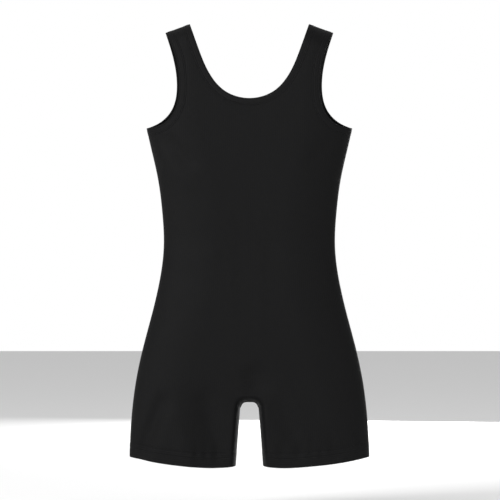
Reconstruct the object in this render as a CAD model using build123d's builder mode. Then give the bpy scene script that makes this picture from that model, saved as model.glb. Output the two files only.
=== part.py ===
"""Child's sleeveless gymnastics leotard with shorts legs, standing as worn.

Two knit panels, front and back, are shells of one lofted body form.  Every opening has a
turned hem: the knit rolls over at the edge and lies as a second layer inside, with the
elastic held in the pocket between the two.  Front of the garment faces -Y, the wearer's
left is +X, and the origin is midway between the neck corners of the two straps.
Millimetres throughout.
"""
import os
from math import cos, radians, sin, tan

from build123d import *

# ---- materials, thicknesses ----
KNIT = 0.8
ELASTIC = 0.6
LABEL = 0.3
LABEL_TOP, LABEL_HEIGHT, LABEL_LENGTH, LABEL_SEAM = 318.0, 22.0, 32.0, 112.0

# ---- hems: finished width, and the elastic inside it ----
NECK_HEM, ARM_HEM, LEG_HEM = 9.0, 9.5, 20.0
EDGE_ELASTIC_WIDTH = 6.5
LEG_ELASTIC_WIDTH = 12.0
SEAM_ALLOWANCE = 6.0

# ---- straps and shoulder ----
STRAP_IN, STRAP_OUT = 80.4, 113.4
SHOULDER_SLOPE = 20.3
SHOULDER_RADIUS = 26.0
SHOULDER_FLARE = 74.0

# ---- neckline, armholes, leg opening ----
FRONT_SCOOP, BACK_SCOOP = 100.0, 118.0
NECK_CURVE = ((0.84, 0.36), (0.66, 0.68), (0.415, 0.9))   # shares of half width and of scoop
ARMHOLE_DEPTH = 143.0
FRONT_ARM_WAIST, BACK_ARM_WAIST = 94.6, 98.6
ARM_SEAM = 141.0                   # armhole's low end, at the side seam
ARM_UPPER, ARM_WAIST, ARM_LOWER, ARM_FOOT = 0.27, 0.54, 0.8, 0.94   # shares of its height
ARM_UPPER_SHARE = 0.3              # of the way from waist to strap
ARM_LOWER_OUT, ARM_FOOT_OUT = 7.0, 24.0
LEG_INNER, LEG_LOW, LEG_MIDDLE, LEG_OUTER = 594.0, 599.5, 595.0, 582.5
LEG_STATIONS = (8.0, 45.0, 110.0, 168.0)   # where the leg hem has those heights

# ---- crotch ----
CROTCH = 510.0
ARCH_TOP, ARCH_MID, ARCH_FOOT = 10.5, 13.6, 18.6
ARCH_CORNER = 7.0
SADDLE_RADIUS = 8.0
GUSSET_HALF_WIDTH, GUSSET_HALF_LENGTH = 12.5, 20.0
LINING_MARGIN = 1.5

# ---- body form: one section every 45 mm, from just above the straps to below the hems ----
SECTION_TOP, SECTION_STEP = 15.0, 45.0
CROWN, FLANK = 0.55, 0.86          # where a section's second and third points stand, in half widths
FLANK_SHARE = 0.66                 # depth at the flank, in crown depths
FORM = [
    # half width, front: centre, crown, back: centre, crown
    (150.0, 32.0, 28.0, 31.0, 27.0),
    (149.5, 33.0, 28.5, 32.0, 27.5),
    (148.0, 34.0, 29.5, 33.0, 28.5),   # strap and shoulder blade
    (143.0, 35.5, 30.5, 34.0, 29.5),
    (133.0, 36.0, 31.0, 33.5, 29.0),   # chest
    (122.9, 34.5, 30.0, 31.0, 27.5),
    (117.2, 32.5, 28.5, 29.0, 26.0),
    (115.3, 31.0, 27.5, 28.5, 25.5),   # waist
    (120.6, 33.0, 29.0, 32.0, 29.0),
    (130.8, 35.5, 31.5, 36.5, 33.5),   # hip
    (142.8, 34.0, 32.5, 37.0, 35.5),   # seat
    (152.5, 26.0, 32.0, 29.0, 35.0),
    (158.3, 14.0, 31.0, 15.5, 33.0),   # thigh
    (161.3, 10.0, 30.0, 11.0, 31.0),
    (162.0, 9.0, 29.0, 10.0, 30.0),
]
HEMS = {                           # opening: finished hem width, elastic width
    "neck": (NECK_HEM, EDGE_ELASTIC_WIDTH),
    "left_arm": (ARM_HEM, EDGE_ELASTIC_WIDTH),
    "right_arm": (ARM_HEM, EDGE_ELASTIC_WIDTH),
    "left_leg": (LEG_HEM, LEG_ELASTIC_WIDTH),
    "right_leg": (LEG_HEM, LEG_ELASTIC_WIDTH),
}
PARALLEL_POINTS = 11
REACH = 120.0                      # past the garment, front to back
CUT_ABOVE, CUT_OUT, CUT_LOW, CUT_FLARE = 42.0, 240.0, 700.0, 14.0   # outer corners of the cutters
FRONT, BACK = 1, -1                # sketch normal of Plane.XZ is -Y


def flank_curve(side, station, inset):
    """Half an oval from flank to flank, through two crowns and the centre between them."""
    half_width, centre, crown = station[0], *station[1 if side < 0 else 3:][:2]
    half_width, centre, crown = half_width - inset, centre - inset, crown - inset
    right = [
        (CROWN * half_width, side * crown),
        (FLANK * half_width, side * crown * FLANK_SHARE),
        (half_width, 0),
    ]
    left = [(-x, y) for x, y in reversed(right)]
    Spline(left + [(0, side * centre)] + right)


def roof(inset):
    """A roof of two slopes with a round ridge, over which each strap turns."""
    ridge = STRAP_IN * tan(radians(SHOULDER_SLOPE))
    with BuildPart() as arch:
        for side in (1, -1):
            with BuildSketch(Plane.YZ):
                with BuildLine():
                    with Locations((0, ridge - SHOULDER_RADIUS)):
                        CenterArc((0, 0), SHOULDER_RADIUS - inset, 0, 180)
                    Line((-SHOULDER_FLARE + inset, -CUT_LOW), (SHOULDER_FLARE - inset, -CUT_LOW))
                make_hull()
            direction = (side * cos(radians(SHOULDER_SLOPE)), 0, -sin(radians(SHOULDER_SLOPE)))
            extrude(amount=200, dir=direction)
    return arch.part


def crotch_arch(inset):
    """The space between the legs, made larger all round by the inset."""
    with BuildPart() as arch:
        with BuildSketch(Plane.XZ) as outline:
            with BuildLine():
                Polyline(
                    (ARCH_FOOT + inset, -CUT_LOW),
                    (ARCH_FOOT + inset, -600),
                    (ARCH_MID + inset, -528),
                    (ARCH_TOP + inset, -CROTCH + inset),
                    (0, -CROTCH + inset),
                )
                mirror(about=Plane.YZ)
                Line((ARCH_FOOT + inset, -CUT_LOW), (-ARCH_FOOT - inset, -CUT_LOW))
            make_face()
            fillet(outline.vertices().group_by(Axis.Y)[-1], ARCH_CORNER)
        extrude(amount=REACH, both=True)
    return arch.part


def body_form(inset):
    """The closed form that the knit lies on, made smaller all round by the inset."""
    with BuildPart() as form:
        for n, station in enumerate(FORM):
            with BuildSketch(Plane.XY.offset(SECTION_TOP - n * SECTION_STEP)):
                with BuildLine():
                    flank_curve(-1, station, inset)
                    flank_curve(1, station, inset)
                make_face()
        loft()
        add(roof(inset), mode=Mode.INTERSECT)
        add(crotch_arch(inset), mode=Mode.SUBTRACT)
        saddle = form.edges().filter_by(
            lambda edge: abs((edge @ 0.5).X) < ARCH_FOOT + inset + 1
            and abs((edge @ 0.5).Y) > 2
            and -610 < (edge @ 0.5).Z < inset + 1 - CROTCH
        )
        fillet(saddle, max(SADDLE_RADIUS - inset, 1.5))
    return form.part


def knit_layer(outer, inner):
    """The space between two forms, one inside the other."""
    with BuildPart() as layer:
        add(outer)
        add(inner, mode=Mode.SUBTRACT)
    return layer.part


def parallel(points, distance):
    """The points of a smooth curve through the given points, moved a distance to its left."""
    curve = Edge.make_spline([Vector(*point) for point in points])
    moved = []
    for n in range(PARALLEL_POINTS):
        t = n / (PARALLEL_POINTS - 1)
        along = curve % t
        moved.append(curve @ t + Vector(-along.Y, along.X) * distance)
    return moved


def neck_cutter(face, scoop, grow):
    """Everything inside the neckline of one face of the garment, grown by a hem's width."""
    half = [(across * STRAP_IN, -down * scoop) for across, down in NECK_CURVE]
    left = [(-x, z) for x, z in half]
    scoop_edge = [(-STRAP_IN, 0)] + left + [(0, -scoop)] + half[::-1] + [(STRAP_IN, 0)]
    edge = parallel(scoop_edge, -grow)
    with BuildPart() as cutter:
        with BuildSketch(Plane.XZ):
            with BuildLine():
                Spline(edge)
                Polyline(edge[-1], (STRAP_IN + CUT_FLARE + grow, CUT_ABOVE),
                         (-STRAP_IN - CUT_FLARE - grow, CUT_ABOVE), edge[0])
            make_face()
        extrude(amount=face * REACH)
    return cutter.part


def armhole_cutter(face, side, waist, grow):
    """Everything outside one armhole edge, grown by a hem's width."""
    top = -(STRAP_OUT - STRAP_IN) * tan(radians(SHOULDER_SLOPE))
    run = ARMHOLE_DEPTH + top
    edge = parallel(
        [
            (STRAP_OUT, top),
            (waist + ARM_UPPER_SHARE * (STRAP_OUT - waist), top - ARM_UPPER * run),
            (waist, top - ARM_WAIST * run),
            (waist + ARM_LOWER_OUT, top - ARM_LOWER * run),
            (waist + ARM_FOOT_OUT, top - ARM_FOOT * run),
            (ARM_SEAM, -ARMHOLE_DEPTH),
        ],
        -grow,
    )
    edge = [(side * point.X, point.Y) for point in edge]
    with BuildPart() as cutter:
        with BuildSketch(Plane.XZ):
            with BuildLine():
                Spline(edge)
                Polyline(edge[-1], (side * CUT_OUT, -ARMHOLE_DEPTH - CUT_FLARE - grow),
                         (side * CUT_OUT, CUT_ABOVE), (side * (STRAP_OUT + CUT_FLARE), CUT_ABOVE), edge[0])
            make_face()
        extrude(amount=face * REACH)
    return cutter.part


def leg_cutter(side, grow):
    """Everything below one leg's hem edge, raised by a hem's width."""
    heights = (LEG_INNER, LEG_LOW, LEG_MIDDLE, LEG_OUTER)
    edge = [(side * x, grow - z) for x, z in zip(LEG_STATIONS, heights)]
    with BuildPart() as cutter:
        with BuildSketch(Plane.XZ):
            with BuildLine():
                Spline(edge)
                Polyline(edge[-1], (edge[-1][0], -CUT_LOW), (edge[0][0], -CUT_LOW), edge[0])
            make_face()
        extrude(amount=REACH, both=True)
    return cutter.part


def opening(name, grow):
    """The cutter of one named opening, grown by a hem's width or a part of it."""
    side = 1 if name.startswith("left") else -1
    with BuildPart() as cutter:
        if name == "neck":
            add(neck_cutter(FRONT, FRONT_SCOOP, grow))
            add(neck_cutter(BACK, BACK_SCOOP, grow))
        elif name.endswith("arm"):
            add(armhole_cutter(FRONT, side, FRONT_ARM_WAIST, grow))
            add(armhole_cutter(BACK, side, BACK_ARM_WAIST, grow))
        else:
            add(leg_cutter(side, grow))
    return cutter.part


def gusset_column(margin):
    """A leaf-shaped column under the crotch, pointed front and back."""
    with BuildPart() as column:
        with BuildSketch(Plane.XY.offset(-CROTCH - 14)):
            with BuildLine():
                width, length = GUSSET_HALF_WIDTH - margin, GUSSET_HALF_LENGTH - margin
                ThreePointArc((0, -length), (width, 0), (0, length))
                ThreePointArc((0, -length), (-width, 0), (0, length))
            make_face()
        extrude(amount=34)
    return column.part


def slab(side, near, far):
    """All that stands from one distance to another behind (1) or before (-1) the side seams."""
    with BuildPart() as block:
        with BuildSketch(Plane.XZ.offset(-side * near)):
            with Locations((0, -300)):
                Rectangle(500, 900)
        extrude(amount=-side * (far - near))
    return block.part


# ---- the layers of cloth, each between two forms ----
forms = [body_form(inset) for inset in (0, KNIT, KNIT + ELASTIC, 2 * KNIT + ELASTIC, SEAM_ALLOWANCE)]
face_knit, pocket, fold, allowance = [
    knit_layer(forms[outer], forms[inner]) for outer, inner in ((0, 1), (1, 2), (2, 3), (1, 4))
]
gusset = gusset_column(0)

# ---- for each opening: the space it cuts away, its rolled edge, its elastic and its whole hem ----
cut = {name: opening(name, 0) for name in HEMS}
rolled = {name: opening(name, KNIT) for name in HEMS}
elastic_edge = {name: opening(name, KNIT + width) for name, (_, width) in HEMS.items()}
hemmed = {name: opening(name, width) for name, (width, _) in HEMS.items()}

# ---- front and back panels: face, turned hems, rolled edges, and allowances at the seams ----
panels = []
for name, side in (("front_panel", -1), ("back_panel", 1)):
    half = slab(side, 0, REACH)
    layers = []
    for layer, bands in ((fold, hemmed), (pocket, rolled)):
        with BuildPart() as half_layer:
            add(layer)
            add(half, mode=Mode.INTERSECT)
        for band in bands.values():
            with BuildPart() as strip:
                add(half_layer.part)
                add(band, mode=Mode.INTERSECT)
            layers.append(strip.part)
    with BuildPart() as seams:
        add(allowance)
        add(slab(side, 0, KNIT), mode=Mode.INTERSECT)
        add(list(hemmed.values()), mode=Mode.SUBTRACT)
    with BuildPart() as panel:
        add(face_knit)
        add(half, mode=Mode.INTERSECT)
        add(layers)
        add(seams.part)
        add(list(cut.values()), mode=Mode.SUBTRACT)
        add(gusset, mode=Mode.SUBTRACT)
    panel.part.label = name
    panels.append(panel.part)

# ---- crotch gusset, and the cotton lining inside it ----
with BuildPart() as crotch_gusset:
    add(face_knit)
    add(gusset, mode=Mode.INTERSECT)
crotch_gusset.part.label = "crotch_gusset"

with BuildPart() as gusset_lining:
    add(pocket)
    add(gusset_column(LINING_MARGIN), mode=Mode.INTERSECT)
gusset_lining.part.label = "gusset_lining"

# ---- elastics: one loop in the pocket of each hem ----
elastics = []
for name, node in (("neck", "neck_elastic"), ("left_arm", "armhole_elastic_left"),
                   ("right_arm", "armhole_elastic_right"), ("left_leg", "leg_elastic_left"),
                   ("right_leg", "leg_elastic_right")):
    with BuildPart() as elastic:
        add(pocket)
        add(elastic_edge[name], mode=Mode.INTERSECT)
        add(rolled[name], mode=Mode.SUBTRACT)
    elastic.part.label = node
    elastics.append(elastic.part)

# ---- care label: a folded satin tape caught in the left side seam, blank ----
with BuildPart() as care_label:
    with BuildSketch(Plane.XY.offset(-LABEL_TOP)):
        with BuildLine():
            Polyline((LABEL_SEAM, KNIT), (LABEL_SEAM - LABEL_LENGTH, KNIT),
                     (LABEL_SEAM - LABEL_LENGTH, KNIT + 3 * LABEL), (LABEL_SEAM, KNIT + 3 * LABEL),
                     (LABEL_SEAM, KNIT + 2 * LABEL), (LABEL_SEAM - LABEL_LENGTH + LABEL, KNIT + 2 * LABEL),
                     (LABEL_SEAM - LABEL_LENGTH + LABEL, KNIT + LABEL), (LABEL_SEAM, KNIT + LABEL),
                     close=True)
        make_face()
    extrude(amount=-LABEL_HEIGHT)
care_label.part.label = "care_label"

os.makedirs("parts", exist_ok=True)
for piece in panels + [crotch_gusset.part, gusset_lining.part] + elastics + [care_label.part]:
    export_step(piece, f"parts/{piece.label}.step")
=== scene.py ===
"""Looks of the sleeveless gymnastics leotard with shorts legs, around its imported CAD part.

The garment stands as worn.  Front and back panel lie on one body form, a surface whose half
depth is a formula of x and z, and every hem, elastic, seam and stitch is placed on that form
by its distance from an edge and its depth below the face.  Shapes are worked out in
millimetres and put into the meshes in metres.  The front faces -Y.
"""

import bpy
import numpy as np
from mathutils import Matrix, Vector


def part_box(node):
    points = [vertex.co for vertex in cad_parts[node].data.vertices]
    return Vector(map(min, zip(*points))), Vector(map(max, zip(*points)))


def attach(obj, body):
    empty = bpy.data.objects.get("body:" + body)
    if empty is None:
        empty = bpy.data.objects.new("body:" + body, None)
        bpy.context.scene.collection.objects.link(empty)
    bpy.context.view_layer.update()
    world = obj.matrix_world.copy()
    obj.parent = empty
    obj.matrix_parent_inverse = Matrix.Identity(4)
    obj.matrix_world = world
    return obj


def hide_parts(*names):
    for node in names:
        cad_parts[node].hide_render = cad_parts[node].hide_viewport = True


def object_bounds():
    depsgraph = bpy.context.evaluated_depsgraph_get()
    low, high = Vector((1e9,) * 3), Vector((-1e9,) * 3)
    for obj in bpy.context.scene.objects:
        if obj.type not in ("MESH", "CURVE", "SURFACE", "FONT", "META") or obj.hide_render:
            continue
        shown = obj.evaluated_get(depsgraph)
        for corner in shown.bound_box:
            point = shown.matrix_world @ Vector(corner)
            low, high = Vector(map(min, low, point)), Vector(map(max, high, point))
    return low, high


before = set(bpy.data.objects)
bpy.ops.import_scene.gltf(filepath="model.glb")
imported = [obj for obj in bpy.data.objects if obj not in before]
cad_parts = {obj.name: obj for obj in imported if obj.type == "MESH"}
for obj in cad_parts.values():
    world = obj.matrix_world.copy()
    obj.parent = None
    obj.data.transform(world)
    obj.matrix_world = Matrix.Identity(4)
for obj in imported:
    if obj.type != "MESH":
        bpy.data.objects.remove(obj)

CAD_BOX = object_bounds()
MM = 0.001

FRONT, BACK = -1, 1

# ---- body form, mm: half width and half depths at stations of height, then its edges ----
STATIONS = [15, -75, -143, -210, -255, -300, -345, -390, -435, -480, -525, -570, -600]
HALF_WIDTH = [150, 147, 138.4, 123.5, 117.8, 115.9, 121.2, 131.4, 143.3, 153, 158.8, 161.5, 161.9]
DEPTH = {
    FRONT: [33, 35, 36.5, 34.5, 32.5, 31, 33, 35.5, 36, 34.5, 32.5, 30.5, 29.5],
    BACK: [32, 33.5, 34, 31, 29, 28.5, 32, 37, 39, 37.5, 34, 31.5, 30.5],
}
TRUNK_ROUND, LEG_ROUND = 75.0, 60.0        # how far in from a side seam the form is round
LEG_ROUND_BELOW, ROUND_CHANGE = -540.0, 90.0
SHOULDER_ROUND, ARCH_ROUND = 30.0, 10.0
STRAP_IN, STRAP_OUT = 80.4, 113.4
SHOULDER_FALL = np.tan(np.radians(20.3))
SHOULDER_TOP, SHOULDER_BEND, BEND_SOFT = 0.28, 60.0, 8.0
CROTCH, ARCH_HALF, ARCH_CORNER, ARCH_SPREAD = -510.0, 12.3, 8.5, 0.081
ARCH_FLAT = ARCH_HALF - ARCH_CORNER

# ---- openings, mm ----
SCOOP = {FRONT: 101.0, BACK: 118.0}
NECK_CURVE = [(0.84, 0.36), (0.66, 0.68), (0.415, 0.9)]    # shares of STRAP_IN and of the scoop
ARMHOLE_LOW = -140.8
# Half width at the chest, share of the strap's flare that is left above it, and how far down
# the armhole its two lowest points lie, which are LOWER_OUT and FOOT_OUT further out.
ARMHOLE = {FRONT: (94.6, 0.22, 0.83, 0.965), BACK: (98.6, 0.30, 0.80, 0.94)}
FLARE_DOWN, CHEST_DOWN, LOWER_OUT, FOOT_OUT = 0.27, 0.54, 7.0, 24.0
HEM_EDGE = [(8, -595), (42, -598.2), (80, -596.4), (122, -591.6), (162, -584)]
NECK_HEM, ARM_HEM, LEG_HEM = 9.0, 9.5, 20.0

# ---- cloth, mm ----
KNIT, POCKET, PROUD = 0.6, 0.6, 0.25
NEEDLES_APART, NEEDLE_IN = 6.4, 1.0        # the outer row's distance from the hem's inner line
STITCH, STITCH_PITCH, THREAD, THREAD_FLAT = 2.4, 2.9, 0.4, 0.8
NEEDLE_DIP, NEEDLE_DIP_WIDTH = 0.38, 0.45  # how a row of stitches draws the face in
SEAM_DIP, SEAM_DIP_WIDTH = 0.45, 1.6       # the same at a seam


# ---------------------------------------------------------------- curves and the form
def spline(knots, values, t):
    """Natural cubic spline: its second derivatives solve the usual three-term equations,
    and between two knots it is the straight mix plus a cubic share of each."""
    values = np.asarray(values, float).reshape(len(knots), -1)
    t = np.asarray(t, float)
    gap = np.diff(knots)
    slope = np.diff(values, axis=0) / gap[:, None]
    system = np.diag(np.r_[1, 2 * (gap[:-1] + gap[1:]), 1])
    inner = np.arange(1, len(knots) - 1)
    system[inner, inner - 1] = gap[:-1]
    system[inner, inner + 1] = gap[1:]
    bend = np.zeros_like(values)
    bend[1:-1] = 6 * np.diff(slope, axis=0)
    bend = np.linalg.solve(system, bend)
    k = np.clip(np.searchsorted(knots, t) - 1, 0, len(knots) - 2)
    near = ((knots[k + 1] - t) / gap[k])[..., None]
    far = 1 - near
    cubic = (near**3 - near) * bend[k] + (far**3 - far) * bend[k + 1]
    return near * values[k] + far * values[k + 1] + cubic * gap[k][..., None] ** 2 / 6


def by_height(table, z):
    """A quantity of the form, given at the stations, at any height."""
    return spline(-np.array(STATIONS, float), table, -np.asarray(z, float))[..., 0]


def run_of(line):
    """How far along a line each of its points lies."""
    return np.r_[0, np.cumsum(np.linalg.norm(np.diff(line, axis=0), axis=1))]


def along(points, t):
    """A smooth curve through points, at shares t of its chord length."""
    points = np.asarray(points, float)
    run = run_of(points)
    return spline(run / run[-1], points, t)


def ease(t):
    """Smooth step from 0 to 1."""
    t = np.clip(t, 0, 1)
    return t * t * (3 - 2 * t)


def clustered(n):
    """n shares from 0 to 1, close together at both ends, as (1 - cos) / 2."""
    return (1 - np.cos(np.linspace(0, np.pi, n))) / 2


def half_width(z):
    """From the centre to the side seam."""
    return by_height(HALF_WIDTH, z)


def shoulder_line(x):
    """Height of the shoulder seam: level at the neck, then falling with a soft start."""
    past = np.abs(x) - SHOULDER_BEND
    fallen = SHOULDER_BEND + (past + np.sqrt(past**2 + BEND_SOFT**2)) / 2 - STRAP_IN
    return SHOULDER_TOP - fallen * SHOULDER_FALL


def arch_half(z):
    """Half the width between the legs: flat top with round corners, then a slow spread."""
    below = CROTCH - np.asarray(z, float)
    corner = np.sqrt(np.clip(ARCH_CORNER**2 - (ARCH_CORNER - below) ** 2, 0, None))
    straight = ARCH_HALF + ARCH_SPREAD * np.clip(below - ARCH_CORNER, 0, None)
    return np.where(below < ARCH_CORNER, ARCH_FLAT + np.where(below > 0, corner, 0), straight)


def arch_gap(x, z):
    """Distance from the edge of the space between the legs: the signed distance to a
    rounded corner, positive in the cloth."""
    middle = ARCH_HALF + ARCH_SPREAD * np.clip(CROTCH - ARCH_CORNER - z, 0, None)
    across = np.abs(x) - middle + ARCH_CORNER
    up = z - CROTCH + ARCH_CORNER
    outside = np.hypot(np.clip(across, 0, None), np.clip(up, 0, None))
    return outside + np.clip(np.maximum(across, up), None, 0) - ARCH_CORNER


def roundness(t):
    """Square of a quarter circle's height at share t of its radius, 1 past it."""
    return 1 - (1 - np.minimum(t, 1)) ** 2


def depth_squared(x, z, side):
    """Half depth squared: the section's depth, rounded off to nothing at the side seam,
    at the shoulder seam and at the edge between the legs."""
    above = ease((z - LEG_ROUND_BELOW) / ROUND_CHANGE)
    side_round = LEG_ROUND + (TRUNK_ROUND - LEG_ROUND) * above
    return (
        by_height(DEPTH[side], z) ** 2
        * roundness((half_width(z) - np.abs(x)) / side_round)
        * roundness(arch_gap(x, z) / ARCH_ROUND)
        * roundness((shoulder_line(x) - z) / SHOULDER_ROUND)
    )


# Each fold: from (x, z) to (x, z), how wide, how high (a groove where negative).  The cloth
# is dragged towards the crotch, and loose over the front of the wearer's right leg.
FOLDS = {FRONT: [
    ((-119, -510), (-146, -580), 11, -5.0), ((-94, -532), (-83, -600), 19, 3.6),
    ((-86, -566), (-80, -600), 13, 1.8), ((-59, -508), (-36, -603), 14, -4.3),
    ((6, -468), (8, -492), 17, -3.0), ((42, -520), (64, -575), 12, -1.6),
    ((70, -556), (92, -582), 8, 1.3), ((106, -548), (118, -580), 8, -1.6),
    ((134, -540), (142, -576), 9, 1.3), ((-112, -156), (-82, -188), 11, -2.6),
    ((-120, -172), (-84, -214), 13, 1.9), ((112, -156), (86, -184), 11, -1.6),
    ((-60, -298), (60, -302), 20, -0.7), ((-105, -322), (-50, -312), 13, 0.8),
    ((104, -320), (52, -310), 13, 0.7),
], BACK: [
    ((-90, -455), (-28, -500), 16, -1.5), ((90, -455), (28, -500), 16, -1.5),
    ((-70, -478), (-22, -512), 12, 1.0), ((70, -478), (22, -512), 12, 1.0),
    ((-80, -262), (80, -258), 16, -1.2), ((-70, -286), (75, -290), 14, 1.1),
    ((-66, -312), (70, -318), 14, -0.9), ((0, -380), (0, -470), 14, -1.5),
    ((-110, -540), (-60, -585), 13, -0.9), ((108, -545), (66, -585), 13, -0.9),
    ((112, -160), (84, -195), 12, -1.1), ((-112, -160), (-84, -195), 12, -1.1),
]}
FOLD_END = 1.3                             # a fold dies away this much faster past its ends
SEAM_CALM = 14.0                           # folds fade out this far from a seam
# Gathers that the leg elastic draws up: height, length of one, and where they are highest.
PUCKER, PUCKER_LENGTH, PUCKER_ABOVE, PUCKER_REACH = 0.8, 17.0, 3.0, 11.0


def folds(x, z, side):
    """Height of the folds: each falls off as a bell across its line and past its ends, and
    all fade out at the seams.  Gathers run up from each leg hem, a sine of the way along the
    hem whose length and height wander, times a bell of the height above it."""
    height = np.zeros(np.broadcast(x, z).shape)
    for (x0, z0), (x1, z1), wide, high in FOLDS[side]:
        length = np.hypot(x1 - x0, z1 - z0)
        share = ((x - x0) * (x1 - x0) + (z - z0) * (z1 - z0)) / length**2
        off = ((x - x0) * (z1 - z0) - (z - z0) * (x1 - x0)) / length
        past = (np.clip(share, 0, 1) - share) * length / wide
        bell = np.exp(-((off / wide) ** 2) - (past / FOLD_END) ** 2)
        height += high * bell * ease(1.15 - np.abs(2 * share - 1) * 0.45)
    above = z - hem_edge(x) - LEG_HEM - PUCKER_ABOVE
    gather = np.sin(x * 2 * np.pi / PUCKER_LENGTH + 1.9 * np.sin(x / 13.0 + side))
    uneven = 0.6 + 0.4 * np.sin(x / 19.0 + 2 * side)
    height += PUCKER * uneven * gather * np.exp(-((above / PUCKER_REACH) ** 2))
    seam = np.minimum(np.minimum(half_width(z) - np.abs(x), arch_gap(x, z)), shoulder_line(x) - z)
    return height * ease(seam / SEAM_CALM)


def hem_edge(x):
    """Height of the leg hem's edge at a distance from the centre."""
    line = along(HEM_EDGE, np.linspace(0, 1, 200))
    return np.interp(np.abs(x), line[:, 0], line[:, 1])


def on_form(x, z, side, under=0.0):
    """The point of the form at x and z, sunk under its face along the normal.  The normal is
    the gradient of y squared less depth squared, which is level at every seam.  Along a seam
    the face dips by a thread's width."""
    x, z, under = np.broadcast_arrays(np.asarray(x, float), np.asarray(z, float), under)
    step = 0.02
    y = np.sqrt(np.clip(depth_squared(x, z, side), 0, None))
    normal = np.stack([
        (depth_squared(x - step, z, side) - depth_squared(x + step, z, side)) / (2 * step),
        side * 2 * y,
        (depth_squared(x, z - step, side) - depth_squared(x, z + step, side)) / (2 * step),
    ], -1)
    normal /= np.linalg.norm(normal, axis=-1, keepdims=True)
    out = folds(x, z, side) - under - SEAM_DIP * np.exp(-((y / SEAM_DIP_WIDTH) ** 2))
    return np.stack([x, side * y, z], -1) + normal * out[..., None], normal


# ---------------------------------------------------------------- openings
SEAM_SLANT = np.cos(np.arctan(SHOULDER_FALL))
BEND_REACH = 26.0
ROUNDS = 6                                 # passes in which x and z settle on each other


def neck_line(side, t):
    """Neck edge from one strap's corner to the other, a smooth curve through shares of the
    strap's distance and of the scoop."""
    right = [(-STRAP_IN, 0)] + [(-x * STRAP_IN, -z * SCOOP[side]) for x, z in NECK_CURVE]
    left = [(-x, z) for x, z in right[::-1]]
    return along(right + [(0, -SCOOP[side])] + left, t)


def arm_line(side, t):
    """Armhole edge of the wearer's left, from the shoulder seam to the side seam.  The front
    is hollowed out further than the back, so a strip of the back's lining shows past it."""
    chest, flare, lower_down, foot_down = ARMHOLE[side]
    top = -(STRAP_OUT - STRAP_IN) * SHOULDER_FALL
    x = [STRAP_OUT, chest + flare * (STRAP_OUT - chest), chest, chest + LOWER_OUT,
         chest + FOOT_OUT, half_width(ARMHOLE_LOW)]
    down = np.array([0, FLARE_DOWN, CHEST_DOWN, lower_down, foot_down, 1])
    return along(np.stack([x, top - down * (top - ARMHOLE_LOW)], -1), t)


def beside(edge, t, inward):
    """Points (column, inward distance) beside an edge, at right angles to it, and how far
    along the edge each column lies."""
    tangent = np.gradient(edge, t, axis=0)
    tangent /= np.linalg.norm(tangent, axis=1, keepdims=True)
    into = np.stack([tangent[:, 1], -tangent[:, 0]], -1)
    return edge[:, None] + inward[:, None] * into[:, None], run_of(edge)


def bent_to(place, end, seam, away):
    """Moves the end of a strip so that its last column lies on a seam: by the whole error at
    the end column, fading with the square of the distance left to BEND_REACH."""
    fade = np.clip(1 - away / BEND_REACH, 0, None) ** 2
    return place + fade[:, None, None] * (seam - place[end])


def neck_strip(side, t, inward):
    """From shoulder seam to shoulder seam, with both ends bent to lie on the seams."""
    place, run = beside(neck_line(side, t), t, inward)
    for end, way, away in ((0, -1, run), (-1, 1, run[-1] - run)):
        x = way * (STRAP_IN + inward * SEAM_SLANT)
        place = bent_to(place, end, np.stack([x, shoulder_line(x)], -1), away)
    return place


def arm_strip(side, t, inward, mirror=1):
    """From the shoulder seam to the side seam, with both ends bent to lie on the seams."""
    place, run = beside(arm_line(side, t), t, inward)
    x = STRAP_OUT - inward * SEAM_SLANT
    place = bent_to(place, 0, np.stack([x, shoulder_line(x)], -1), run)
    z = ARMHOLE_LOW - inward
    place = bent_to(place, -1, np.stack([half_width(z), z], -1), run[-1] - run)
    place[..., 0] = np.minimum(place[..., 0], half_width(place[..., 1]))
    return place * [mirror, 1]


def leg_strip(side, t, inward, mirror=1):
    """From the inseam to the side seam, each column at one share of the leg's width."""
    share = t[:, None]
    z = np.full((len(t), len(inward)), float(HEM_EDGE[0][1]))
    for _ in range(ROUNDS):
        x = arch_half(z) + (half_width(z) - arch_half(z)) * share
        z = hem_edge(x) + inward
    return np.stack([x * mirror, z], -1)


OPENINGS = {                               # strip, mirrored, hem width, columns
    "neck": (neck_strip, None, NECK_HEM, 150),
    "left_arm": (arm_strip, 1, ARM_HEM, 110),
    "right_arm": (arm_strip, -1, ARM_HEM, 110),
    "left_leg": (leg_strip, 1, LEG_HEM, 110),
    "right_leg": (leg_strip, -1, LEG_HEM, 110),
}


def strip_of(name, side, t, inward):
    """Points in x and z beside the edge of a named opening."""
    strip, mirror = OPENINGS[name][:2]
    inward = np.asarray(inward, float)
    return strip(side, t, inward) if mirror is None else strip(side, t, inward, mirror)


def cut_away(x, z, side):
    """True where an opening has taken the cloth away."""
    half_neck = neck_line(side, np.linspace(0.5, 1, 200))
    arm = arm_line(side, np.linspace(0, 1, 300))
    cut = (z > -SCOOP[side]) & (np.abs(x) < np.interp(z, half_neck[:, 1], half_neck[:, 0]))
    cut |= (z > ARMHOLE_LOW) & (np.abs(x) > np.interp(-z, -arm[:, 1], arm[:, 0]))
    return cut | (z < hem_edge(x))


def past_hems(x, z, side):
    """Distance from the inner line of the nearest hem, negative inside the hem."""
    near = z - hem_edge(x) - LEG_HEM
    for line, width in ((neck_line, NECK_HEM), (arm_line, ARM_HEM)):
        edge = line(side, np.linspace(0, 1, 200))
        away = np.hypot(np.abs(x)[..., None] - np.abs(edge[:, 0]), z[..., None] - edge[:, 1])
        near = np.minimum(near, away.min(axis=-1) - width)
    return near


# ---------------------------------------------------------------- meshes
WELD = 3                                   # decimals of a millimetre that coinciding points share
# Past these depths the cloth shows its reverse, and its colour there is painted near black:
# partly the duller reverse of the tricot, partly painted shade inside the garment.
REVERSE_FROM, REVERSE_OVER = 0.9, 0.8      # depths where the cloth's face turns to its reverse


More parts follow.
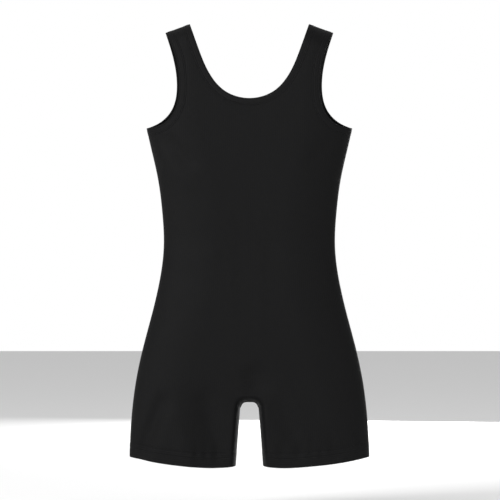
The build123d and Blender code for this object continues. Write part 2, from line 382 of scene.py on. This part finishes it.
def grid_quads(rows, columns, around=False):
    """Quads between the neighbours of a grid that is numbered row by row."""
    i, j = np.meshgrid(np.arange(rows - 1), np.arange(columns - (not around)), indexing="ij")
    k = (j + 1) % columns
    corners = [i * columns + j, i * columns + k, (i + 1) * columns + k, (i + 1) * columns + j]
    return np.stack(corners, -1).reshape(-1, 4)


def facing_out(points, quads, normals):
    """The same quads, all turned if on the whole they face against the normals."""
    a, b, c = (points[quads[:, k]] for k in range(3))
    against = np.einsum("ij,ij->i", np.cross(b - a, c - b), normals[quads[:, 0]])
    return quads[:, ::-1] if np.sum(against) < 0 else quads


class Heap:
    """Points, faces and flat cloth coordinates gathered into one mesh."""

    def __init__(self):
        self.points, self.flat, self.reverse = [], [], []
        self.corners, self.sizes, self.count = [], [], 0

    def add(self, points, quads, caps=(), flat=None, reverse=0.0, copies=1):
        """Adds points and their faces.  Where the points are so many copies of one shape,
        each copy gets the same faces."""
        points = points.reshape(-1, 3)
        shift = self.count + len(points) // copies * np.arange(copies)[:, None]
        self.corners.append((np.concatenate([np.ravel(quads), *caps]) + shift).ravel())
        sizes = [4] * len(quads) + [len(cap) for cap in caps]
        self.sizes.append(np.tile(sizes, copies))
        self.points.append(points)
        self.reverse.append(np.broadcast_to(np.ravel(reverse), len(points)))
        self.flat.append(points[:, [0, 2]] if flat is None else flat.reshape(-1, 2))
        self.count += len(points)

    def mesh(self, name):
        """One object in metres.  Points that coincide are joined and unused ones dropped,
        and so are corners that then repeat the one before them, and faces with under three."""
        points, flat, reverse, corners, sizes = (np.concatenate(parts) for parts in (
            self.points, self.flat, self.reverse, self.corners, self.sizes))
        _, first, same = np.unique(np.round(points, WELD), axis=0, return_index=True,
                                   return_inverse=True)
        corners = same.reshape(-1)[corners]
        start = np.cumsum(sizes) - sizes
        before = np.arange(len(corners)) - 1
        before[start] = start + sizes - 1
        differs = corners != corners[before]
        sides = np.add.reduceat(differs.astype(int), start)
        corners = corners[differs & np.repeat(sides > 2, sizes)]
        sizes = sides[sides > 2]
        used, corners = np.unique(corners, return_inverse=True)
        chosen = first[used]
        data = bpy.data.meshes.new(name)
        data.vertices.add(len(used))
        data.vertices.foreach_set("co", (points[chosen] * MM).astype(np.float32).ravel())
        data.loops.add(len(corners))
        data.loops.foreach_set("vertex_index", corners.astype(np.int32))
        data.polygons.add(len(sizes))
        data.polygons.foreach_set("loop_start", (np.cumsum(sizes) - sizes).astype(np.int32))
        data.polygons.foreach_set("use_smooth", np.ones(len(sizes), bool))
        data.update(calc_edges=True)
        data.uv_layers.new(name="cloth").data.foreach_set(
            "uv", (flat[chosen][corners] * MM).astype(np.float32).ravel())
        data.attributes.new("reverse", "FLOAT", "POINT").data.foreach_set(
            "value", reverse[chosen].astype(np.float32))
        obj = bpy.data.objects.new(name, data)
        bpy.context.scene.collection.objects.link(obj)
        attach(obj, "root")
        return obj


def shell(heap, outer, inner, quads, flat):
    """A sheet with two faces, and a rim round every open edge.  Its points come on a grid."""
    outer, inner, flat = outer.reshape(-1, 3), inner.reshape(-1, 3), flat.reshape(-1, 2)
    count = len(outer)
    edges = np.concatenate([quads[:, [k, (k + 1) % 4]] for k in range(4)])
    free = ~np.isin(edges[:, 1] * count + edges[:, 0], edges[:, 0] * count + edges[:, 1])
    a, b = edges[free].T
    rim = np.stack([b, a, a + count, b + count], -1)
    heap.add(np.concatenate([outer, inner]), np.concatenate([quads, quads[:, ::-1] + count, rim]),
             flat=np.concatenate([flat, flat]), reverse=np.repeat([0.0, 1.0], count))


def round_section(points):
    """Quads round a closed section that is carried along a line, facing away from the middle
    of each section, and the caps that close both ends."""
    rows, n = points.shape[:2]
    away = points - points.mean(axis=1, keepdims=True)
    plain = grid_quads(rows, n, around=True)
    quads = facing_out(points.reshape(-1, 3), plain, away.reshape(-1, 3))
    first, last = np.arange(n), np.arange(n) + (rows - 1) * n
    return quads, [first[::-1], last] if quads is plain else [first, last[::-1]]


def tube(heap, opening, side, profile, columns, ends=True):
    """A closed profile of (inward distance, depth under the face) carried along the edge of
    an opening, capped at both seams."""
    profile = np.asarray(profile, float)
    place = strip_of(opening, side, clustered(columns), profile[:, 0])
    points, _ = on_form(place[..., 0], place[..., 1], side, profile[:, 1])
    quads, caps = round_section(points)
    flat = np.stack(np.broadcast_arrays(run_of(profile)[None], run_of(place[:, 0])[:, None]), -1)
    reverse = ease((profile[:, 1] - REVERSE_FROM) / REVERSE_OVER)
    heap.add(points, quads, caps if ends else (), flat, np.tile(reverse, columns))


# ---------------------------------------------------------------- panels
LIP, LIP_DEPTH = 1.3, 0.4                  # a hem's edge that laps onto the panel


def needle_rows(width):
    """Inward distances of the two rows of a hem's stitching."""
    return width - NEEDLE_IN, width - NEEDLE_IN - NEEDLES_APART


def hem_profile(width):
    """A turned hem's section, as (inward distance, depth): the face, a little proud and
    drawn in at each row of stitching, the roll over the edge as a half circle, the layer
    that lies inside, and the way back round the pocket of the elastic."""
    radius = (2 * KNIT + POCKET + PROUD) / 2
    rows = needle_rows(width)
    s = np.unique(np.concatenate([np.linspace(radius, width + 0.4, 14)] + [
        row + np.array([-1.0, -0.5, 0, 0.5, 1.0]) for row in rows if row > 2]))[::-1]
    s = s[s >= radius]
    dip = sum(NEEDLE_DIP * np.exp(-(((s - row) / NEEDLE_DIP_WIDTH) ** 2)) for row in rows)
    face = np.stack([s, -PROUD + dip], -1)
    angle = np.linspace(0, np.pi, 9)[1:-1]
    middle = radius - PROUD
    roll = np.stack([radius * (1 - np.sin(angle)), middle - radius * np.cos(angle)], -1)
    deep = 2 * KNIT + POCKET
    inside = [(s, deep) for s in np.linspace(radius, width - 0.2, 6)]
    back = [(width, deep - 0.3), (width - 0.2, KNIT + POCKET),
            (width * 0.5, KNIT + POCKET), (radius + 0.5, KNIT + POCKET),
            (radius + 0.2, KNIT + POCKET / 2), (radius + 0.5, KNIT), (width * 0.5, LIP_DEPTH),
            (width + LIP, LIP_DEPTH), (width + LIP - 0.3, LIP_DEPTH - 0.3)]
    return np.concatenate([face, roll, inside, back])


UPPER_ROWS, TRUNK_ROWS, LEG_ROWS, CENTRE_COLUMNS, LEG_COLUMNS = 62, 124, 40, 5, 54
UPPER_LOW, GRID_LOW = -160.0, -601.0
DENSE_SHARE = 0.25                         # rows crowd together over the arch, as far out as this
PARTING = 8                                # how fast columns return to their places beside it
PANEL_LAP, PANEL_SUNK = 3.6, 0.5           # how far the panel runs under a hem, how deep


def panel_grid():
    """x and z of a grid fitted to the seams, and its quads without the space between the
    legs.  A few columns cross that space, and the others share out the rest of the width;
    below the crotch they part round the arch, by a power of their share.  Rows are level, but
    above UPPER_LOW they rise to follow the shoulder seam."""
    centre = np.linspace(0, 1, CENTRE_COLUMNS)[:-1]
    inner = np.r_[centre, np.ones(LEG_COLUMNS + 1)]
    outer = np.r_[np.zeros(CENTRE_COLUMNS - 1), clustered(LEG_COLUMNS + 1)]
    inner, outer = (np.r_[-share[:0:-1], share] for share in (inner, outer))
    quarter = np.pi / 2
    risen = np.r_[np.cos(np.linspace(0, quarter, UPPER_ROWS)), np.zeros(TRUNK_ROWS + LEG_ROWS)]
    trunk, legs = np.linspace(0, 1, TRUNK_ROWS + 1)[1:], np.linspace(0, 1, LEG_ROWS + 1)[1:]
    even, dense = (
        np.r_[np.full(UPPER_ROWS, UPPER_LOW), UPPER_LOW + (CROTCH - UPPER_LOW) * to_crotch,
              CROTCH + (GRID_LOW - CROTCH) * to_hem][:, None]
        for to_crotch, to_hem in (
            (trunk, legs), (np.sin(trunk * quarter), 1 - np.cos(legs * quarter))))
    spaced = ease(np.abs(outer) / DENSE_SHARE)
    level = dense * (1 - spaced) + even * spaced
    z = level
    for _ in range(ROUNDS):
        parted = (arch_half(z) - ARCH_FLAT) * (1 - np.abs(outer)) ** PARTING
        x = inner * (ARCH_FLAT + parted) + outer * (half_width(z) - ARCH_FLAT)
        z = level + (shoulder_line(x) - UPPER_LOW) * risen[:, None]
    quads = grid_quads(*x.shape)
    crossing = np.abs(inner[:-1] + inner[1:]) < 2
    between_legs = (z.ravel()[quads].mean(axis=1) < CROTCH) & np.tile(crossing, len(x) - 1)
    return x, z, quads[~between_legs]


def panel(name, side):
    """The panel's cloth, less the openings and what lies under a hem, and a turned hem along
    each opening."""
    x, z, quads = panel_grid()
    mid_x, mid_z = x.ravel()[quads].mean(axis=1), z.ravel()[quads].mean(axis=1)
    under_hem = past_hems(mid_x, mid_z, side) < -PANEL_LAP
    quads = quads[~(cut_away(mid_x, mid_z, side) | under_hem)]
    sunk = PANEL_SUNK * ease((PANEL_LAP / 2 - past_hems(x, z, side)) / PANEL_LAP)
    outer, normals = on_form(x, z, side, sunk)
    inner, _ = on_form(x, z, side, KNIT + sunk)
    step = np.linalg.norm(np.diff(outer, axis=1), axis=2)
    run = np.concatenate([np.zeros((len(x), 1)), np.cumsum(step, axis=1)], axis=1)
    run -= run[:, x.shape[1] // 2][:, None]
    quads = facing_out(outer.reshape(-1, 3), quads, normals.reshape(-1, 3))
    heap = Heap()
    shell(heap, outer, inner, quads, np.stack([run, z], -1))
    for opening, (_, _, width, columns) in OPENINGS.items():
        tube(heap, opening, side, hem_profile(width), columns)
    return heap.mesh(name)


front_panel = panel("leotard_front", FRONT)
back_panel = panel("leotard_back", BACK)
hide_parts("front_panel")
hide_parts("back_panel")


# ---------------------------------------------------------------- elastics
ELASTIC_IN, ELASTIC_FREE, ELASTIC_BEVEL = 1.6, 0.06, 0.2


def elastic(name, opening, width):
    """A closed loop of flat elastic, a little free in the pocket, with bevelled edges."""
    heap = Heap()
    near, far = ELASTIC_IN, ELASTIC_IN + width
    top, low = KNIT + ELASTIC_FREE, KNIT + POCKET - ELASTIC_FREE
    centre, middle = (near + far) / 2, (top + low) / 2
    inner, outer = near + ELASTIC_BEVEL, far - ELASTIC_BEVEL
    profile = [(near, middle), (inner, top), (centre, top), (outer, top),
               (far, middle), (outer, low), (centre, low), (inner, low)]
    for side in (FRONT, BACK):
        tube(heap, opening, side, profile, OPENINGS[opening][3], ends=False)
    obj = heap.mesh(name)
    return obj


elastics = []
for opening, node, width in (
    ("neck", "neck_elastic", 6.2), ("left_arm", "armhole_elastic_left", 6.4),
    ("right_arm", "armhole_elastic_right", 6.4), ("left_leg", "leg_elastic_left", 12.0),
    ("right_leg", "leg_elastic_right", 12.0),
):
    piece = elastic(node + "_band", opening, width)
    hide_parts(node)
    elastics.append(piece)


# ---------------------------------------------------------------- stitching
def capsule(sides=6, rings=4):
    """A short rounded thread along x, one long and one thick: rings whose radius is the root
    of a sphere's, set towards both ends."""
    angle = np.linspace(-np.pi / 2, np.pi / 2, rings + 2)[1:-1]
    turn = np.arange(sides) * 2 * np.pi / sides
    ring = np.stack([
        np.repeat(np.sign(angle) * 0.5, sides),
        np.outer(np.cos(angle) ** 0.5, np.cos(turn)).ravel() / 2,
        np.outer(np.cos(angle) ** 0.5, np.sin(turn)).ravel() / 2,
    ], -1)
    ring[:, 0] *= np.repeat(0.62 + 0.38 * np.abs(np.sin(angle)), sides)
    caps = [np.arange(sides)[::-1], np.arange(sides) + (rings - 1) * sides]
    return ring, grid_quads(rings, sides, around=True), caps


def lay_stitches(heap, start, end, lift):
    """A capsule from each start point to its end point, flattened along the lift."""
    ring, quads, caps = capsule()
    forward = end - start
    length = np.linalg.norm(forward, axis=1, keepdims=True)
    forward = forward / length
    lift = lift - np.sum(lift * forward, axis=1, keepdims=True) * forward
    lift /= np.linalg.norm(lift, axis=1, keepdims=True)
    across = np.cross(lift, forward)
    size = np.concatenate(
        [length, np.full_like(length, THREAD), np.full_like(length, THREAD * THREAD_FLAT)], 1)
    local = ring[None] * size[:, None]
    points = ((start + end) / 2)[:, None] + (
        local[..., :1] * forward[:, None] + local[..., 1:2] * across[:, None]
        + local[..., 2:] * lift[:, None])
    heap.add(points, quads, caps, copies=len(points))


ROW_POINTS, ROW_SUNK = 700, 0.02
LOOPER_DEPTH = 2 * KNIT + POCKET + 0.13    # from the rows on the face to the thread inside


def at_run(place, run, wanted):
    """Points of a line at given distances along it."""
    return np.stack([np.interp(wanted, run, place[:, k]) for k in range(place.shape[1])], -1)


def cover_stitch(heap, opening, side):
    """Two rows of stitches on the face, and the looper thread that zigzags between them
    under the hem."""
    rows = np.array(needle_rows(OPENINGS[opening][2]))
    place = strip_of(opening, side, np.linspace(0, 1, ROW_POINTS), rows)
    lines = []
    for k in range(2):
        line, normal = on_form(place[:, k, 0], place[:, k, 1], side, ROW_SUNK)
        run = run_of(line)
        count = int(run[-1] / STITCH_PITCH)
        begin = (np.arange(count) + 0.2) * run[-1] / count
        lay_stitches(heap, at_run(line, run, begin), at_run(line, run, begin + STITCH),
                     at_run(normal, run, begin))
        lines.append((line, normal, run))
    loops = np.linspace(0, 1, int(lines[0][2][-1] / STITCH_PITCH) + 1)
    lifts = [at_run(normal, run, loops * run[-1]) for _, normal, run in lines]
    a, b = (at_run(line, run, loops * run[-1]) - lift * LOOPER_DEPTH
            for (line, _, run), lift in zip(lines, lifts))
    lift, across = lifts[0], (b[:-1] + b[1:]) / 2
    lay_stitches(heap, a[:-1], across, lift[:-1])
    lay_stitches(heap, across, a[1:], lift[:-1])


threads = []
for opening in OPENINGS:
    heap = Heap()
    for side in (FRONT, BACK):
        cover_stitch(heap, opening, side)
    threads.append(heap.mesh("stitching_" + opening))


# ---------------------------------------------------------------- seam allowances
SEAM_END = -578.0                          # where the leg hems begin
ALLOWANCE = np.array([(0.5, -0.6), (3, -0.62), (5.6, -0.6), (6.1, 0), (5.6, 0.6), (3, 0.62),
                      (0.5, 0.6)])         # section: depth, offset front to back
OVERLOCK_DEEP, OVERLOCK_EDGE, OVERLOCK_OFF, OVERLOCK_LEAN = 2.2, 6.0, 0.75, 1.2


def seam_lines():
    """The seams, in x and z: both sides, both shoulders, and the inseam over the arch."""
    side_z = np.linspace(ARMHOLE_LOW - ARM_HEM - 1, SEAM_END, 160)
    strap_x = np.linspace(STRAP_IN + NECK_HEM + 1, STRAP_OUT - ARM_HEM - 1, 12)
    leg_z = np.linspace(SEAM_END, CROTCH - ARCH_CORNER, 40)[:-1]
    turn = np.linspace(0, np.pi / 2, 10)[:-1]
    top = np.linspace(ARCH_FLAT, 0, 4)
    x = np.r_[arch_half(leg_z), ARCH_FLAT + ARCH_CORNER * np.cos(turn), top]
    z = np.r_[leg_z, CROTCH - ARCH_CORNER * (1 - np.sin(turn)), np.full(4, CROTCH)]
    for mirror in (1, -1):
        yield mirror * half_width(side_z), side_z
        yield mirror * strap_x, shoulder_line(strap_x)
    yield np.r_[x, -x[-2::-1]], np.r_[z, z[-2::-1]]


def allowances():
    """Where the panels are sewn, their edges stand inwards side by side: a narrow closed
    section carried along each seam, with overlock thread zigzagging along both its faces."""
    cloth, threads = Heap(), Heap()
    for x, z in seam_lines():
        points, _ = on_form(x[:, None], z[:, None], FRONT, ALLOWANCE[:, 0])
        points[..., 1] = ALLOWANCE[:, 1]
        quads, caps = round_section(points)
        # The allowance counts as reverse throughout, so it is painted near black as shade inside
        # the garment.
        cloth.add(points, quads, caps, reverse=1.0)
        run = run_of(np.stack([x, z], -1))
        at = np.arange(0.5, run[-1] - STITCH_PITCH, STITCH_PITCH)
        deep, edge = (on_form(x, z, FRONT, depth)[0] for depth in (OVERLOCK_DEEP, OVERLOCK_EDGE))
        for off in (-OVERLOCK_OFF, OVERLOCK_OFF):
            deep[:, 1] = edge[:, 1] = off
            lift = np.tile([0.0, np.sign(off), 0.0], (len(at), 1))
            turned = at_run(edge, run, at + OVERLOCK_LEAN)
            lay_stitches(threads, at_run(deep, run, at), turned, lift)
            lay_stitches(threads, turned, at_run(deep, run, at + STITCH_PITCH), lift)
    return cloth.mesh("seam_allowances"), threads.mesh("stitching_overlock")


allowance, overlock = allowances()
threads.append(overlock)


# ---------------------------------------------------------------- crotch gusset
GUSSET_HALF_WIDTH, GUSSET_HALF_LENGTH = 12.5, 20.0
TUCK = 0.35                                # how far a patch's edge is drawn in


def saddle(x, y, under):
    """A point of the crotch at plan place x, y: as high over the arch's outline as the
    round of the form has risen at that distance from the centre."""
    depth = np.where(y < 0, by_height(DEPTH[FRONT], CROTCH), by_height(DEPTH[BACK], CROTCH))
    rise = ARCH_ROUND * (1 - np.sqrt(1 - (y / depth) ** 2))
    radius = ARCH_CORNER + rise - under
    off = np.clip(np.abs(x) - ARCH_FLAT, 0, None)
    z = CROTCH - ARCH_CORNER + np.sqrt(np.clip(radius**2 - off**2, 1, None))
    return np.stack([x, y, z], -1)


def leaf(name, top, low, margin, rows=41, columns=17):
    """A pointed patch over the saddle, from one depth under the form to another: its half
    width falls as a parabola to both points, and its edge is drawn in along a bell."""
    v, u = np.linspace(-1, 1, rows)[:, None], np.linspace(-1, 1, columns)[None]
    length, width = GUSSET_HALF_LENGTH - margin, GUSSET_HALF_WIDTH - margin
    y = np.broadcast_to(length * v, (rows, columns))
    x = width * (1 - v**2 * 0.985) * u
    edge = np.minimum((1 - np.abs(u)) * 6, (1 - np.abs(v)) * 10)
    tuck = TUCK * np.exp(-(edge**2))
    outer = saddle(x, y, -top + tuck)
    inner = saddle(x, y, -low + tuck)
    quads = facing_out(outer.reshape(-1, 3), grid_quads(rows, columns),
                       np.tile([0.0, 0, -1], (rows * columns, 1)))
    heap = Heap()
    shell(heap, outer, inner, quads, np.stack([x, y], -1))
    return heap.mesh(name)


gusset = leaf("gusset_patch", -0.35, 0.3, 0)
lining = leaf("gusset_lining_patch", 0.75, 1.25, 1.5)
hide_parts("crotch_gusset")
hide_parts("gusset_lining")


# ---------------------------------------------------------------- care label
TAPE_HALF, TAPE_WAVE, TAPE_ROWS, TAPE_RUN = 0.1, 0.3, 12, 11


def care_label():
    """A blank satin tape folded double, its loop end free: a thin strip along a hairpin, in
    which both legs swing out by a sine of the height."""
    low, high = (np.array(corner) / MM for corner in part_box("care_label"))
    long, tall = high[0] - low[0], high[2] - low[2]
    turn = np.linspace(np.pi / 2, 3 * np.pi / 2, 9)
    gap = (high[1] - low[1]) / 2
    middle = (high[1] + low[1]) / 2
    arc = np.stack([low[0] + gap + gap * np.cos(turn), middle + gap * np.sin(turn)], -1)
    straight = np.linspace(high[0], low[0] + gap, TAPE_RUN + 1)[:-1]
    line = np.concatenate([
        np.stack([straight, np.full(TAPE_RUN, middle + gap)], -1), arc,
        np.stack([straight[::-1], np.full(TAPE_RUN, middle - gap)], -1)])
    tangent = np.gradient(line, axis=0)
    tangent /= np.linalg.norm(tangent, axis=1, keepdims=True)
    out = np.stack([-tangent[:, 1], tangent[:, 0]], -1) * TAPE_HALF
    height = np.linspace(low[2], high[2], TAPE_ROWS)
    wave = TAPE_WAVE * np.sin((height - low[2]) / tall * np.pi) * ease(
        (high[0] - line[:, :1]) / long)
    outer, inner = (
        np.stack(np.broadcast_arrays(edge[:, :1], edge[:, 1:] + wave, height[None]), -1)
        for edge in (line + out, line - out))
    run = run_of(line)
    quads = facing_out(outer.reshape(-1, 3), grid_quads(len(line), TAPE_ROWS),
                       np.repeat(np.c_[out, np.zeros(len(out))], TAPE_ROWS, 0))
    heap = Heap()
    shell(heap, outer, inner, quads,
          np.stack(np.broadcast_arrays(run[:, None], height[None]), -1))
    return heap.mesh("care_label_tape")


label = care_label()
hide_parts("care_label")


# ---------------------------------------------------------------- materials
def linear(hex_colour):
    """An sRGB hex colour as linear red, green, blue and alpha."""
    value = np.array([int(hex_colour[k:k + 2], 16) for k in (1, 3, 5)]) / 255
    value = np.where(value <= 0.04045, value / 12.92, ((value + 0.055) / 1.055) ** 2.4)
    return (*value.tolist(), 1.0)


def node(tree, kind, settings=(), links=(), **attributes):
    """Adds a node, sets its attributes and sockets, and links sockets from other nodes."""
    made = tree.nodes.new(kind)
    for key, value in attributes.items():
        setattr(made, key, value)
    for socket, value in dict(settings).items():
        made.inputs[socket].default_value = value
    for socket, source in dict(links).items():
        tree.links.new(source, made.inputs[socket])
    return made


def calculate(tree, operation, *operands):
    """Adds a math node of numbers and sockets, and returns its output."""
    numbers = {k: value for k, value in enumerate(operands) if isinstance(value, float)}
    sockets = {k: value for k, value in enumerate(operands) if k not in numbers}
    return node(tree, "ShaderNodeMath", numbers, sockets, operation=operation).outputs[0]


def new_material(name, colour, roughness, specular, **more):
    """A material with its shader's constants set on the shader's own sockets."""
    material = bpy.data.materials.new(name)
    material.use_nodes = True
    tree = material.node_tree
    shader = tree.nodes["Principled BSDF"]
    shader.inputs["Base Color"].default_value = linear(colour)
    shader.inputs["Roughness"].default_value = roughness
    shader.inputs["Specular IOR Level"].default_value = specular
    for socket, value in more.items():
        shader.inputs[socket.replace("_", " ")].default_value = value
    return material, tree, shader


# Real wales are 0.45 mm apart and courses 0.35 mm.  Both are drawn three times as coarse, in
# metres here, so that a close view shows the loops.
WALE, COURSE, LOOP_HEIGHT = 0.0014, 0.0011, 0.00025


def knit_material():
    """Nylon and elastane tricot, dyed black and brushed matt: it gives the eye almost no
    highlight, a faint bloom at grazing angles, and close to, fine upright rows of loops.

    A loop's yarn is a sine of the height, slanted up to the middle of its wale and down
    again, and dips between two wales.  In those dips its colour is painted near black, as
    shade in the hollows of the knit."""
    material, tree, shader = new_material(
        "nylon_elastane_tricot", "#0b0b0c", 0.6, 0.08,
        Sheen_Weight=0.008, Sheen_Roughness=0.5, IOR=1.53)
    cloth = node(tree, "ShaderNodeUVMap", uv_map="cloth")
    split = node(tree, "ShaderNodeSeparateXYZ", {}, {0: cloth.outputs["UV"]})
    share = calculate(tree, "PINGPONG", calculate(tree, "DIVIDE", split.outputs["X"], WALE), 1.0)
    slant = calculate(tree, "MULTIPLY", share, COURSE * 0.6)
    up = calculate(tree, "ADD", split.outputs["Y"], slant)
    wave = calculate(tree, "SINE", calculate(tree, "MULTIPLY", up, 2 * np.pi / COURSE))
    yarn = node(tree, "ShaderNodeMapRange", {"From Min": -1.0}, {"Value": wave})
    ridge = node(tree, "ShaderNodeMapRange", {"From Min": 1.0, "From Max": 0.6}, {"Value": share})
    loops = calculate(tree, "MULTIPLY", yarn.outputs[0], ridge.outputs[0])
    place = node(tree, "ShaderNodeTexCoord")
    mottle = node(tree, "ShaderNodeTexNoise", {"Scale": 38.0, "Detail": 5.0, "Roughness": 0.6},
                  {"Vector": place.outputs["Object"]})
    worn = node(tree, "ShaderNodeMix", {"A": linear("#0c0c0d"), "B": linear("#131314")},
                {"Factor": mottle.outputs["Fac"]}, data_type="RGBA")
    # Painted shade: the colour goes near black in the dips between loops and between wales.
    shade = node(tree, "ShaderNodeMix", {"A": linear("#040404")},
                 {"Factor": loops, "B": worn.outputs["Result"]}, data_type="RGBA")
    # Reverse faces go near black: partly the duller reverse of the tricot, and partly painted
    # shade inside the garment, such as on the back layer seen past the front's armholes.
    reverse = node(tree, "ShaderNodeAttribute", attribute_name="reverse")
    sides = node(tree, "ShaderNodeMix", {"B": linear("#030303")},
                 {"Factor": reverse.outputs["Fac"], "A": shade.outputs["Result"]},
                 data_type="RGBA")
    tree.links.new(sides.outputs["Result"], shader.inputs["Base Color"])
    rough = node(tree, "ShaderNodeMapRange", {"To Min": 0.55, "To Max": 0.7},
                 {"Value": mottle.outputs["Fac"]})
    tree.links.new(rough.outputs["Result"], shader.inputs["Roughness"])
    bump = node(tree, "ShaderNodeBump", {"Strength": 0.6, "Distance": LOOP_HEIGHT},
                {"Height": loops})
    tree.links.new(bump.outputs["Normal"], shader.inputs["Normal"])
    return material


def plain_cloth(name, colour, other, roughness, specular, pitch, depth, **more):
    """A fine thread surface: ribs at a pitch in metres, in two close shades.  A band wave of
    scale 1 repeats every 2 pi / 20 of a metre."""
    material, tree, shader = new_material(name, colour, roughness, specular, **more)
    cloth = node(tree, "ShaderNodeUVMap", uv_map="cloth")
    ribs = node(tree, "ShaderNodeTexWave", {"Scale": 2 * np.pi / 20 / pitch, "Distortion": 0.5},
                {"Vector": cloth.outputs["UV"]}, wave_type="BANDS", bands_direction="Y")
    shade = node(tree, "ShaderNodeMix", {"A": linear(colour), "B": linear(other)},
                 {"Factor": ribs.outputs["Fac"]}, data_type="RGBA")
    tree.links.new(shade.outputs["Result"], shader.inputs["Base Color"])
    bump = node(tree, "ShaderNodeBump", {"Strength": 0.4, "Distance": depth},
                {"Height": ribs.outputs["Fac"]})
    tree.links.new(bump.outputs["Normal"], shader.inputs["Normal"])
    return material


knit = knit_material()
# Textured nylon thread, black: a softly shining twist that catches a little light.
thread = plain_cloth("textured_nylon_thread", "#0a0a0b", "#101011", 0.5, 0.12, 0.0008, 0.00005)
# Braided rubber-core elastic, black: dull, with a rib across it at every 1.4 mm.
braid = plain_cloth("braided_elastic", "#0c0c0d", "#131314", 0.7, 0.1, 0.0014, 0.0001)
# Single jersey cotton, dyed black: dead matt and slightly fuzzy.
jersey = plain_cloth("cotton_jersey", "#121213", "#19191b", 0.9, 0.08, 0.0011, 0.00008,
                     Sheen_Weight=0.03)
# Polyester satin tape, white: smooth, with a soft gloss.
satin = plain_cloth("polyester_satin", "#e2e1dd", "#d6d5d1", 0.35, 0.5, 0.0009, 0.00003)

for obj, material in (
    [(front_panel, knit), (back_panel, knit), (gusset, knit), (allowance, knit),
     (lining, jersey), (label, satin)]
    + [(piece, braid) for piece in elastics] + [(piece, thread) for piece in threads]
):
    obj.data.materials.append(material)

# ---------------------------------------------------------------- floor, light, camera
FLOOR_BELOW, FLOOR_REACH = 0.06, 9.0
low, high = CAD_BOX
floor_level = low.z - FLOOR_BELOW
floor_mesh = bpy.data.meshes.new("floor")
floor_mesh.from_pydata([(x * FLOOR_REACH, y * FLOOR_REACH, floor_level)
                        for x, y in ((-1, -1), (1, -1), (1, 1), (-1, 1))], [], [(0, 1, 2, 3)])
floor = bpy.data.objects.new("floor", floor_mesh)
bpy.context.scene.collection.objects.link(floor)
# Seamless white paper: matt, nearly as light as the white behind it.
paper, _, _ = new_material("white_paper", "#f6f6f6", 0.9, 0.1)
floor_mesh.materials.append(paper)

world = bpy.data.worlds.new("studio")
bpy.context.scene.world = world
world.use_nodes = True
AMBIENT, BACKDROP = 0.56, 1.0              # the room's light, and the white behind the garment
sky = world.node_tree.nodes["Background"]
sky.inputs["Color"].default_value = (1, 1, 1, 1)
seen = node(world.node_tree, "ShaderNodeLightPath")
strength = node(world.node_tree, "ShaderNodeMapRange", {"To Min": AMBIENT, "To Max": BACKDROP},
                {"Value": seen.outputs["Is Camera Ray"]})
world.node_tree.links.new(strength.outputs["Result"], sky.inputs["Strength"])


def softbox(name, place, size, power):
    """A square soft light, turned to face the middle of the garment."""
    data = bpy.data.lights.new(name, "AREA")
    data.size, data.energy = size, power
    obj = bpy.data.objects.new(name, data)
    obj.location = place
    way = (low + high) / 2 - Vector(place)
    obj.rotation_mode = "QUATERNION"
    obj.rotation_quaternion = way.to_track_quat("-Z", "Y")
    bpy.context.scene.collection.objects.link(obj)


softbox("key", (-2.3, -2.9, 1.3), 1.3, 165)
softbox("fill", (2.2, -2.8, -0.2), 1.8, 40)
softbox("back", (0.8, 2.8, 0.0), 1.6, 45)

# A flat tone curve, so that a surface lit by the white studio shows its own sRGB colour.
bpy.context.scene.view_settings.view_transform = "Standard"

# Straight on from the front, with a long lens.
SENSOR, LENS, FRAME_SIDE = 36.0, 300.0, 0.675
CENTRE_X, CENTRE_Z = 0.0008, -0.305
camera_data = bpy.data.cameras.new("camera")
camera_data.lens, camera_data.sensor_width = LENS, SENSOR
camera = bpy.data.objects.new("camera", camera_data)
camera.location = (CENTRE_X, -FRAME_SIDE * LENS / SENSOR, CENTRE_Z)
camera.rotation_euler = (np.pi / 2, 0, 0)
bpy.context.scene.collection.objects.link(camera)
bpy.context.scene.camera = camera
